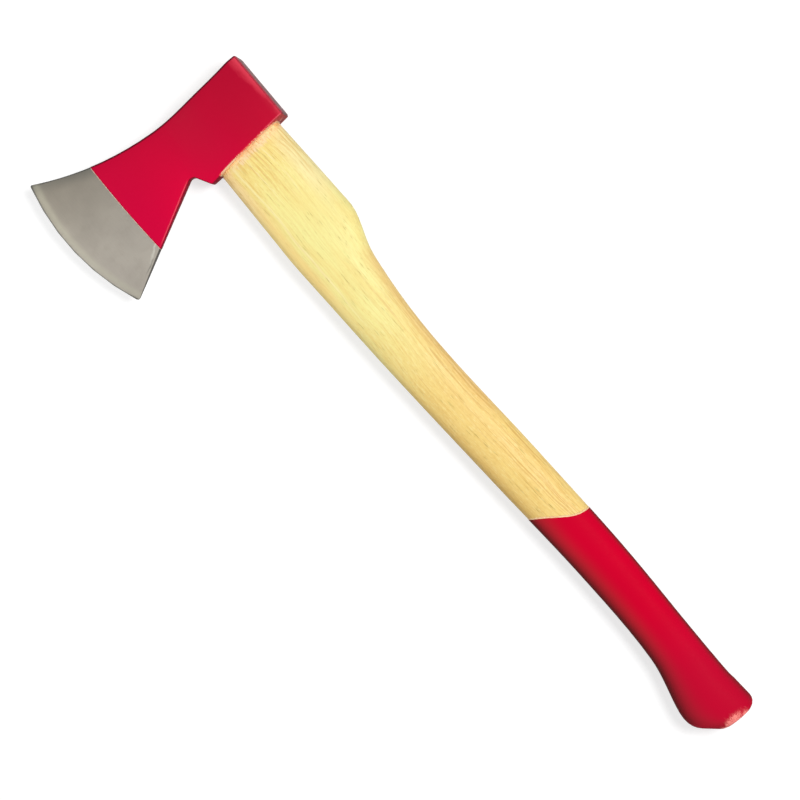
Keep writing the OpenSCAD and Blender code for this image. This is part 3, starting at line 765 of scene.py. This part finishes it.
class GroundSteel(Surface):
    """The ground bit, and the dark forged scale of the poll and the sides, which on the sides is also
    painted shade.
    """

    METAL = 0.7
    # Where the poll's bare steel begins in y, and where its upper bevel begins in y and in z.
    POLL_STEEL = (0.0905, 0.0915)
    BEVEL_Y = (0.0900, 0.0902)
    BEVEL_Z = (0.0312, 0.0318)
    # Along x.
    TO_LOWER_SIDE = (-0.315, -0.215)
    # Along y.
    SHADE_DEEPENS = (-0.085, -0.050)
    WEAR_START = (-0.058, -0.048)
    SLOPES = (0.09, 0.08)
    # The wear leaves the lower side at this y, by so much for each metre.
    WEAR_LEAVES = -0.052
    WEAR_SPREAD = 0.256
    # The middle and the reach in y of the dark line along the lower side.
    DARK_LINE = (-0.056, 0.009)

    DULL_UPPER = (121, 115, 104)
    DULL_LOWER = (145, 139, 130)
    BRIGHT_UPPER = (131, 125, 113)
    BRIGHT_LOWER = (155, 149, 139)
    MOTTLE = (122, 112, 103)
    UPPER_SHADE = (90, 90, 84)
    UPPER_EDGE_SHADE = (70, 70, 65)
    BEVEL_REFLECTION = (168, 166, 147)
    CUTTING_EDGE = (78, 80, 72)
    GRINDING = (104, 102, 97)
    WORN = (196, 196, 184)
    LOWER_LINE = (82, 82, 75)
    SHADED_SKIN = (84, 72, 70)
    PALE_SHADED_SKIN = (102, 88, 85)
    OVERSPRAY = (128, 24, 38)
    SLOPE_SHADE = (62, 62, 57)
    DRIBBLE = (100, 24, 38)
    PALE_DRIBBLE = (172, 46, 62)

    def __init__(self):
        super().__init__("ground_steel", Metallic=self.METAL)
        self.soften(0.0006)
        self.find_borders()
        self.lying = self.calc("ABSOLUTE", self.facing["Z"])
        self.on_poll = self.step(self.y, *self.POLL_STEEL)
        self.lay_satin()
        self.lay_edges()
        lines = self.lay_grinding()
        self.lay_wear()
        skin_and_shade, scale = self.lay_skin_and_shade()
        bevel = self.lay_poll_bevel()
        self.feed(self.step(bevel, 0.0, 1.0, self.METAL, 0.0), self.shader.inputs["Metallic"])
        rough = self.add(self.step(lines, 0.3, 0.7, 0.40, 0.50), self.times(skin_and_shade, 0.2))
        self.finish(rough, self.add(lines, self.times(skin_and_shade, scale, 3.0)), depth=0.00002)

    def find_borders(self):
        """How far a place lies inside the bit's upper side, its lower side and its cutting edge."""
        toe = furthest("axe_head", Vector((-1, 0, 0)))
        lowest = furthest("axe_head", Vector((0, -1, 0)))
        heel = furthest("axe_head", Vector((1, -1, 0)))
        upper_line = furthest("head_lacquer", Vector((-1, -3, 0)))
        lower_line = furthest("head_lacquer", Vector((1, -3, 0)))
        self.from_upper = self.times(self.across(toe, upper_line), -1.0)
        self.from_lower = self.across(heel, lower_line)
        centre, radius = circle_through(toe, lowest, heel)
        from_centre = self.distance(self.place, (centre.x, centre.y, MIDDLE_Z))
        self.from_edge = self.minus(radius, from_centre)

    def lay_satin(self):
        """Satin grey, mottled, and paler towards the lower side, as painted shade darkens it towards the
        upper side.
        """
        cloud = self.step(self.noise((26, 20, 26)), 0.3, 0.7)
        # Painted shade: darker towards the upper side.
        along = self.step(self.x, *self.TO_LOWER_SIDE)
        dull = self.tint(along, self.DULL_UPPER, self.DULL_LOWER)
        bright = self.tint(along, self.BRIGHT_UPPER, self.BRIGHT_LOWER)
        self.colour = self.tint(cloud, dull, bright)
        self.lay(self.MOTTLE, self.step(self.noise((160, 120, 160)), 0.45, 0.75, high=0.15))

    def lay_edges(self):
        """Painted shade along the upper side, and a warm, pale painted reflection along the dark cutting
        edge.
        """
        amount = self.step(self.y, *self.SHADE_DEEPENS, 0.40, 0.70)
        # Painted shade along the upper side and its edge.
        self.lay(self.UPPER_SHADE, self.step(self.from_upper, 0.011, 0.0), amount)
        self.lay(self.UPPER_EDGE_SHADE, self.step(self.from_upper, 0.0020, 0.0010, high=0.55))
        # A painted reflection along the cutting edge.
        self.lay(self.BEVEL_REFLECTION, self.ridge(self.from_edge, 0.0040, 0.0044), 0.32)
        self.lay(self.CUTTING_EDGE, self.step(self.from_edge, 0.0014, 0.0006, high=0.8))

    def lay_grinding(self):
        """Fine grinding lines across the bit."""
        lines = self.noise((100, 2400, 600), rough=0.7)
        self.lay(self.GRINDING, self.step(lines, 0.4, 0.8, high=0.08))
        return lines

    def lay_wear(self):
        """Bright wear that leaves the lower side towards the lacquer, and a short dark line there."""
        drift = self.swing(self.even_noise(260, detail=2), 0.0030)
        drifted = self.add(self.from_lower, drift)
        spread = self.times(self.add(self.y, -self.WEAR_LEAVES), self.WEAR_SPREAD)
        worn = self.ridge(self.minus(drifted, spread), 0.0026, 0.0016)
        self.lay(self.WORN, worn, self.step(self.y, *self.WEAR_START), 0.42)
        line = self.ridge(drifted, 0.0014, 0.0009)
        self.lay(self.LOWER_LINE, line, self.ridge(self.y, *self.DARK_LINE), 0.6)

    def lay_skin_and_shade(self):
        """Dark forged scale on the sides and the poll, on the sides also painted shade, with red overspray
        by the poll's long edges.
        """
        skin_and_shade = self.larger(self.on_poll, self.step(self.lying, 0.8, 0.4))
        scale = self.even_noise(140, detail=4)
        # Dark forged scale, which on the sides is also painted shade.
        self.lay(self.tint(self.step(scale, 0.3, 0.7), self.SHADED_SKIN, self.PALE_SHADED_SKIN), skin_and_shade)
        sprayed = self.step(self.gap(self.z, MIDDLE_Z), -0.002, 0.0130)
        self.lay(self.OVERSPRAY, sprayed, self.on_poll, 0.75)
        return skin_and_shade, scale

    def lay_poll_bevel(self):
        """Painted shade on the slopes beside the cheeks, and lacquer that runs over the bevel of the poll.
        """
        # Painted shade on the slopes beside the cheeks.
        self.lay(self.SLOPE_SHADE, self.step(self.lying, 0.985, 0.90), self.step(self.y, *self.SLOPES), 0.7)
        bevel = self.times(self.step(self.y, *self.BEVEL_Y), self.step(self.z, *self.BEVEL_Z))
        self.lay(self.tint(self.step(self.lying, 0.3, 0.5), self.DRIBBLE, self.PALE_DRIBBLE), bevel)
        return bevel


def zinc():
    return two_toned(
        "zinc_ring", noise=((400, 400, 400), 4), dark=(150, 154, 160), light=(205, 207, 210),
        mix=(0.35, 0.65), rough=(0.3, 0.55), depth=0.00005, Metallic=1.0,
    )


wear(NODES["handle"], AshWood())
wear(NODES["head_lacquer"], HeadLacquer())
wear(NODES["grip_lacquer"], GripLacquer())
wear(NODES["axe_head"], GroundSteel())
wear(NODES["wood_wedge"], wedge_wood())
wear(NODES["ring_wedge"], zinc())


# ---- added pieces ----

RIM_POINTS = 180
RIM_SIDES = 5
# Where a coat ends, its lowest vertices lie closer than this to the bare surface.
COAT_FLOOR = 0.0001
# How often the waves in a rim's width repeat round the axe, and their share of it.
RIM_WAVES = (7, 13, 19, 25)
RIM_WAVER = 0.25
# How deep a rim sits in the coat and the surface, and its thin border in the surface.
RIM_SINK = 0.0001
RIM_FEATHER = 0.00003

FIBRES = 170
FIBRE_STATIONS = 5
FIBRE_SIDES = 4
# Least and most: a fibre's start beyond the head, its length, half its width, and its lift.
FIBRE_START = (-0.0004, 0.0018)
FIBRE_LENGTH = (0.0014, 0.0046)
FIBRE_HALF = (0.00008, 0.00022)
FIBRE_LIFT = (0.00004, 0.00022)
# The share of its width that a fibre loses, and the part of a half turn it arches over.
FIBRE_TAPER = 0.85
FIBRE_ARC_START = 0.15
FIBRE_ARC = 0.75
# Half the depth of the handle by the head, and a distance that is well outside it.
HANDLE_HALF = 0.028
OUTSIDE = 0.06


def add_piece(name, places, faces, surface):
    """Adds a smooth piece that rides with the axe."""
    mesh = bpy.data.meshes.new(name)
    mesh.from_pydata([tuple(place) for place in places], [], faces)
    mesh.polygons.foreach_set("use_smooth", [True] * len(mesh.polygons))
    piece = bpy.data.objects.new(name, mesh)
    bpy.context.scene.collection.objects.link(piece)
    piece.data.materials.append(surface.material)
    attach(piece, "root")


def joined(here, there, sides):
    """The faces between two rings of vertices, which begin at these numbers."""
    pairs = [(i, (i + 1) % sides) for i in range(sides)]
    return [(here + i, here + j, there + j, there + i) for i, j in pairs]


def coat_edge(coat, tree, toward, reach):
    """Where the edge face of a coat meets the bare surface below it, in order round the axe."""
    mesh = NODES[coat].data
    found = {}
    for face in mesh.polygons:
        if face.normal.dot(toward) > 0.5 and face.center.dot(toward) > reach:
            for index in face.vertices:
                place = mesh.vertices[index].co
                if tree.find_nearest(place)[3] < COAT_FLOOR:
                    found[tuple(round(value, 6) for value in place)] = place.copy()
    places = list(found.values())
    centre = sum(places, Vector()) / len(places)
    side = toward.cross(Vector((0, 0, 1))).normalized()
    return sorted(places, key=lambda place: math.atan2(place.z - centre.z, (place - centre).dot(side)))


def even_loop(places, count):
    """So many places at even distances along a closed loop."""
    ends = places[1:] + places[:1]
    lengths = [(end - start).length for start, end in zip(places, ends)]
    gap = sum(lengths) / count
    result, walked, index = [], 0.0, 0
    for k in range(count):
        while walked + lengths[index] < k * gap:
            walked += lengths[index]
            index += 1
        share = (k * gap - walked) / lengths[index]
        result.append(places[index].lerp(ends[index], share))
    return result


def rim_directions(loop, normals, k, toward):
    """Up from the bare surface and out over it, at one place of a coat's edge."""
    up = sum((normals[(k + j) % RIM_POINTS] for j in (-1, 0, 1)), Vector()).normalized()
    along = loop[(k + 1) % RIM_POINTS] - loop[k - 1]
    out = up.cross(along).normalized()
    if out.dot(toward) < 0:
        out.negate()
    return up, out


def rim_section(base, up, out, width, height, tree):
    """A ring of places round a rim: over its crest, out to its thin border and back."""
    middle = tree.find_nearest(base + out * width * 0.5)[0]
    edge = tree.find_nearest(base + out * width)[0]
    return [
        base - out * RIM_SINK + up * height * 0.4,
        base + up * height,
        middle + up * height * 0.7,
        edge - up * RIM_FEATHER,
        middle - up * RIM_SINK,
    ]


def paint_rim(name, coat, under, toward, reach, width, height, surface):
    """The thin ridge of primer and lacquer that the masking tape left along a coat's edge."""
    tree = finished([NODES[under]])[1]
    loop = even_loop(coat_edge(coat, tree, toward, reach), RIM_POINTS)
    normals = [tree.find_nearest(place)[1] for place in loop]
    rng = random.Random(SEED)
    phases = [rng.uniform(0, 2 * math.pi) for _ in RIM_WAVES]
    places, faces = [], []
    for k, base in enumerate(loop):
        up, out = rim_directions(loop, normals, k, toward)
        turn = 2 * math.pi * k / RIM_POINTS
        waves = [math.sin(turn * repeats + phase) for repeats, phase in zip(RIM_WAVES, phases)]
        wide = width * (1 + RIM_WAVER * (sum(waves) / len(waves)))
        places += rim_section(base, up, out, wide, height, tree)
        faces += joined(RIM_SIDES * k, RIM_SIDES * ((k + 1) % RIM_POINTS), RIM_SIDES)
    add_piece(name, places, faces, surface)


def handle_surface(x, out, tree):
    """A place on the handle by the head, in a direction out from its middle, and its normal."""
    way = Vector((x, SHOULDER.y, SHOULDER.z))
    way.x -= out.y * HANDLE_HALF * math.tan(UNDERSIDE_LEAN)
    place, normal, _, _ = tree.ray_cast(way + out * OUTSIDE, -out)
    if place is None:
        place, normal, _, _ = tree.find_nearest(way)
    return place, normal


def fibre(rng, tree):
    """The places of one fibre: square rings along the handle, narrower towards its tip."""
    angle = rng.uniform(0, 2 * math.pi)
    start, length = rng.uniform(*FIBRE_START), rng.uniform(*FIBRE_LENGTH)
    wide, lift = rng.uniform(*FIBRE_HALF), rng.uniform(*FIBRE_LIFT)
    out = Vector((0, math.cos(angle), math.sin(angle)))
    places = []
    for k in range(FIBRE_STATIONS):
        share = k / (FIBRE_STATIONS - 1)
        place, normal = handle_surface(SHOULDER.x + start + length * share, out, tree)
        side = Vector((1, 0, 0)).cross(normal).normalized()
        half = wide * (1 - FIBRE_TAPER * share)
        top = place + normal * lift * math.sin(math.pi * (FIBRE_ARC_START + FIBRE_ARC * share))
        places += [top - side * half, top + normal * half, top + side * half, top - normal * half]
    return places


def fibre_faces(first):
    """The faces of the fibre whose vertices begin at this number: its sides, then its ends."""
    last = first + FIBRE_SIDES * (FIBRE_STATIONS - 1)
    faces = []
    for here in range(first, last, FIBRE_SIDES):
        faces += joined(here, here + FIBRE_SIDES, FIBRE_SIDES)
    return faces + [(first + 3, first + 2, first + 1, first), (last, last + 1, last + 2, last + 3)]


def torn_fibres():
    """Short fibres of the handle, lifted by the sharp rim of the head, all the way round."""
    tree = finished([NODES["handle"]])[1]
    rng = random.Random(SEED)
    places, faces = [], []
    for _ in range(FIBRES):
        faces += fibre_faces(len(places))
        places += fibre(rng, tree)
    add_piece("torn_fibres", places, faces, torn_wood())


GRIP_RIM = rim_paint("grip_rim_paint", dark=(246, 196, 150), light=(252, 220, 172))
HEAD_RIM = rim_paint("head_rim_paint", dark=(196, 150, 138), light=(222, 192, 176))
# toward: the direction in which a coat ends; reach: how far that way its edge lies at least.
paint_rim(
    "grip_paint_rim", "grip_lacquer", "handle",
    toward=Vector((-0.9, 0.4, 0)).normalized(), reach=-0.13,
    width=0.0013, height=0.00019, surface=GRIP_RIM,
)
paint_rim(
    "head_paint_rim", "head_lacquer", "axe_head",
    toward=Vector((0, -1, 0)), reach=0.036,
    width=0.0006, height=0.00016, surface=HEAD_RIM,
)
torn_fibres()


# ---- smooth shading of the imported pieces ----

SHARP_ANGLE = math.radians(38)
WELD_REACH = 0.000002


def smooth(piece):
    """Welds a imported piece's split faces and shades it smooth, up to its real edges."""
    mesh = piece.data
    if "custom_normal" in mesh.attributes:
        mesh.attributes.remove(mesh.attributes["custom_normal"])
    mesh.polygons.foreach_set("use_smooth", [True] * len(mesh.polygons))
    mesh.edges.foreach_set("use_edge_sharp", [False] * len(mesh.edges))
    weld = piece.modifiers.new("weld", "WELD")
    weld.merge_threshold = WELD_REACH
    split = piece.modifiers.new("edges", "EDGE_SPLIT")
    split.use_edge_angle = True
    split.split_angle = SHARP_ANGLE
    split.use_edge_sharp = False


for node in NODES.values():
    smooth(node)


# ---- floor, world and lights ----

FLOOR_SIDE = 12.0
FLOOR_DROP = 0.0005
FLOOR_GREY = 0.4
# How brightly the floor shows by itself, near the axe and far from it, and where that change lies.
FLOOR_GLOW = (0.70, 1.0)
FLOOR_FADE = (0.5, 3.0)
SKY_STRENGTH = 0.14
# name: (place, the place it points at, diameter, watts)
LIGHTS = {
    "key": ((0.2, 0.88, 1.6), (0.02, 0.02, 0), 0.7, 29),
    "fill": ((-0.45, -0.40, 0.42), (-0.25, 0.0, 0), 0.25, 0.6),
    "front": ((-0.25, -0.42, 0.12), (-0.20, 0.03, 0.015), 0.3, 0.56),
    "low_right": ((1.2, -0.15, 0.45), (0.1, 0.02, 0), 0.4, 2.8),
}


def floor_material():
    """The lamps fade with distance, and the floor's own white takes their place."""
    material = bpy.data.materials.new("floor")
    material.use_nodes = True
    material.node_tree.nodes.clear()
    tree = Nodes(material.node_tree)
    away = tree.length(tree.node("TexCoord").outputs["Object"])
    white = tree.step(away, *FLOOR_FADE, *FLOOR_GLOW)
    glow = tree.node("Emission", {"Strength": tree.times(white, tree.seen_directly())})
    matt = tree.node("BsdfDiffuse", {"Color": (FLOOR_GREY, FLOOR_GREY, FLOOR_GREY, 1)})
    both = tree.node("AddShader", {0: glow.outputs[0], 1: matt.outputs[0]})
    tree.node("OutputMaterial", {"Surface": both.outputs[0]})
    return material


def make_floor():
    """A white floor that keeps the axe's shadow and throws little light back at it."""
    mesh = bpy.data.meshes.new("floor")
    half = FLOOR_SIDE / 2
    corners = [(-half, -half, 0), (half, -half, 0), (half, half, 0), (-half, half, 0)]
    mesh.from_pydata(corners, [], [(0, 1, 2, 3)])
    floor = bpy.data.objects.new("floor", mesh)
    floor.location.z = -FLOOR_DROP
    bpy.context.scene.collection.objects.link(floor)
    floor.data.materials.append(floor_material())
    floor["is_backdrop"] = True


def make_world():
    """A dim even sky that shows white behind the floor."""
    world = bpy.data.worlds.new("world")
    world.use_nodes = True
    world.node_tree.nodes.clear()
    bpy.context.scene.world = world
    tree = Nodes(world.node_tree)
    dim = tree.node("Background", {"Color": (1, 1, 1, 1), "Strength": SKY_STRENGTH})
    white = tree.node("Background", {"Color": (1, 1, 1, 1), "Strength": 1.0})
    both = tree.node("MixShader", {0: tree.seen_directly(), 1: dim.outputs[0], 2: white.outputs[0]})
    tree.node("OutputWorld", {"Surface": both.outputs[0]})


def make_light(name, place, target, diameter, watts):
    data = bpy.data.lights.new(name, "AREA")
    data.shape = "DISK"
    data.size = diameter
    data.energy = watts
    light = bpy.data.objects.new(name, data)
    bpy.context.scene.collection.objects.link(light)
    light.location = place
    light.rotation_mode = "QUATERNION"
    light.rotation_quaternion = (Vector(target) - Vector(place)).to_track_quat("-Z", "Y")


make_floor()
make_world()
for light, settings in LIGHTS.items():
    make_light(light, *settings)

bpy.context.scene.view_settings.view_transform = "Standard"


# ---- where each feature shows, near its image point ----

# A place is in sight if nothing is hit more than this in front of it.
SIGHT_SLACK = 0.001


def in_sight(place, tree):
    start = CAMERA.matrix_world.translation
    ray = place - start
    hit, _, _, distance = tree.ray_cast(start, ray.normalized())
    return hit is None or distance > ray.length - SIGHT_SLACK


def furthest_shown(target, heading, reach, places, tree):
    """Where the furthest place in a direction shows, of those in sight near a target."""
    near = []
    for place in places:
        shown = image_of(place)
        away = shown - target
        in_strip = away.length < SEARCH_RADIUS and abs(away.cross(heading)) < reach
        if in_strip and in_sight(place, tree):
            near.append(shown)
    return max(near, key=heading.dot, default=None)


def write_points():
    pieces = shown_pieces()
    places, tree, counts = finished(pieces)
    vertices, first = {}, 0
    for piece, count in zip(pieces, counts):
        vertices[piece.name] = places[first:first + count]
        first += count
    for name, (x, y, direction, reach, names) in IMAGE_POINTS.items():
        if names:
            own = [place for piece in names for place in vertices[piece]]
            heading = Vector(direction).normalized()
            shown = furthest_shown(Vector((x, y)), heading, reach, own, tree)
        else:
            shown = image_of(surface_at(x, y, tree))


write_points()
